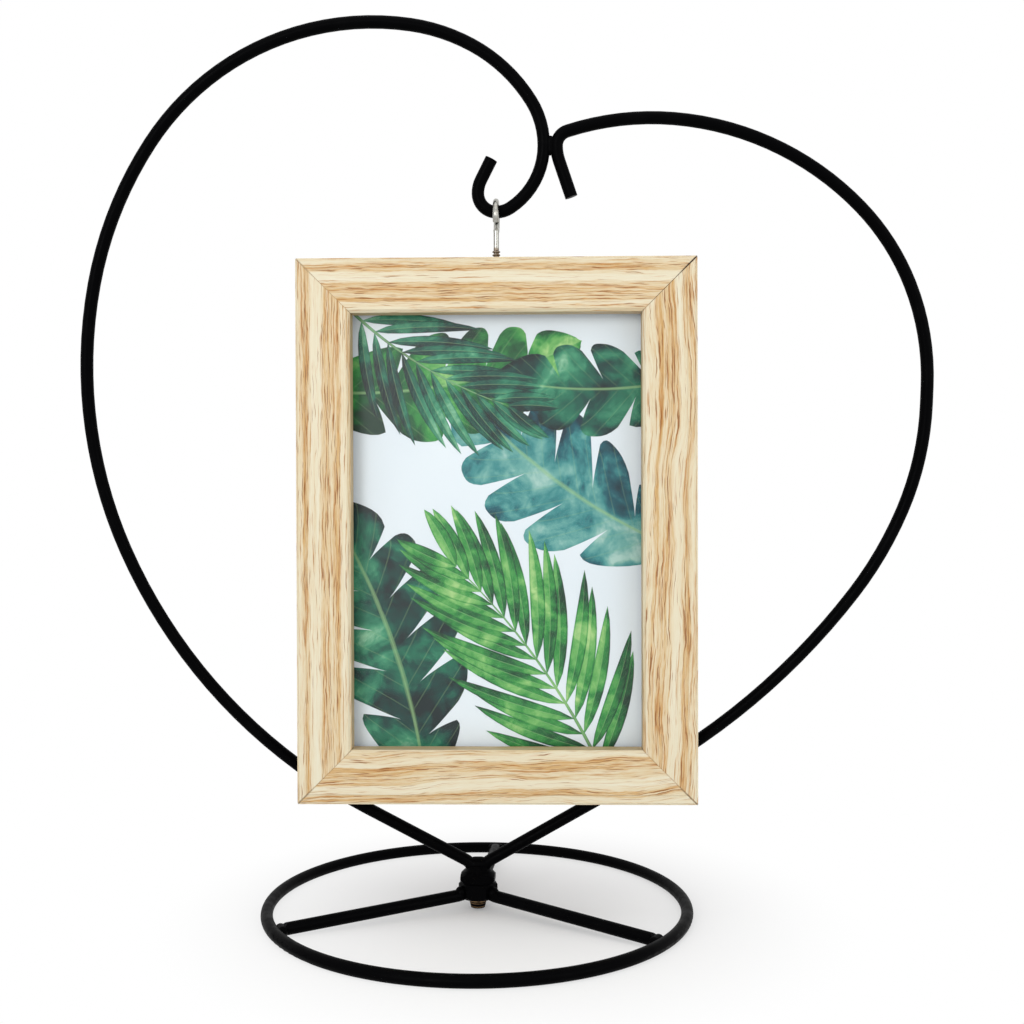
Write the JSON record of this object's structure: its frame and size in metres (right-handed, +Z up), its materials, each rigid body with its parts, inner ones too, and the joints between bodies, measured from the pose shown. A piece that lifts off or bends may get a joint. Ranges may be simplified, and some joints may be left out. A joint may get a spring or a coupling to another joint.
{
  "type": "hanging picture frame on a stand",
  "caption": "Wooden picture frame with glass, print and back board, hung by a screw eye from a heart bent from black wire that screws into a round wire base.",
  "frame": {"origin": "under the middle of the whole object's box, on the surface it stands on", "axes": "+X to the right seen from the front, +Y to the back, +Z up; the print faces -Y"},
  "size_m": [0.2408, 0.126, 0.2526],
  "materials": {
    "black_coat": "satin",
    "bolt_steel": "satin",
    "eye_nickel": "polished",
    "frame_wood": "matte",
    "pane_glass": "polished",
    "print_paper": "matte",
    "board_fibre": "matte",
    "zinc_steel": "satin"
  },
  "bodies": {
    "base": {"base_ring": "black_coat", "spoke_left": "black_coat", "spoke_right": "black_coat", "spoke_back": "black_coat", "base_nut": "black_coat", "ring_welds": "black_coat", "hub_welds": "black_coat"},
    "heart": {"heart_bolt": "bolt_steel", "heart_wire_left": "black_coat", "heart_wire_right": "black_coat", "neck_weld": "black_coat", "cleft_weld": "black_coat"},
    "eye": {"screw_eye": "eye_nickel"},
    "frame": {"rail_top": "frame_wood", "rail_bottom": "frame_wood", "rail_left": "frame_wood", "rail_right": "frame_wood", "corner_nails": "zinc_steel", "glass_pane": "pane_glass", "photo_print": "print_paper", "backing_board": "board_fibre", "button_screws": "zinc_steel"},
    "turn_button_upper_left": {"turn_button_upper_left": "zinc_steel"},
    "turn_button_upper_right": {"turn_button_upper_right": "zinc_steel"},
    "turn_button_lower_left": {"turn_button_lower_left": "zinc_steel"},
    "turn_button_lower_right": {"turn_button_lower_right": "zinc_steel"}
  },
  "joints": [
    {"name": "heart_turn", "type": "hinge", "parent": "base", "child": "heart", "pos_m": [-0.00816, 0, 0.0083], "axis": [0, 0, 1], "range_deg": [0, 180]},
    {"name": "frame_swing", "type": "hinge", "parent": "heart", "child": "eye", "pos_m": [-0.00287, -0.02355, 0.20039], "axis": [1, 0, 0], "range_deg": [-60, 1.2]},
    {"name": "frame_turn", "type": "hinge", "parent": "eye", "child": "frame", "pos_m": [-0.0028, -0.02327, 0.18674], "axis": [-0.0052, -0.0209, 0.9998], "range_deg": [-5, 6]},
    {"name": "button_upper_left_turn", "type": "hinge", "parent": "frame", "child": "turn_button_upper_left", "pos_m": [-0.05252, -0.01674, 0.14911], "axis": [0.0157, 0.9997, 0.021], "range_deg": [-90, 90]},
    {"name": "button_upper_right_turn", "type": "hinge", "parent": "frame", "child": "turn_button_upper_right", "pos_m": [0.04747, -0.01832, 0.1496], "axis": [0.0157, 0.9997, 0.021], "range_deg": [-90, 90]},
    {"name": "button_lower_left_turn", "type": "hinge", "parent": "frame", "child": "turn_button_lower_left", "pos_m": [-0.05213, -0.01517, 0.07413], "axis": [0.0157, 0.9997, 0.021], "range_deg": [-90, 90]},
    {"name": "button_lower_right_turn", "type": "hinge", "parent": "frame", "child": "turn_button_lower_right", "pos_m": [0.04786, -0.01675, 0.07462], "axis": [0.0157, 0.9997, 0.021], "range_deg": [-90, 90]}
  ]
}
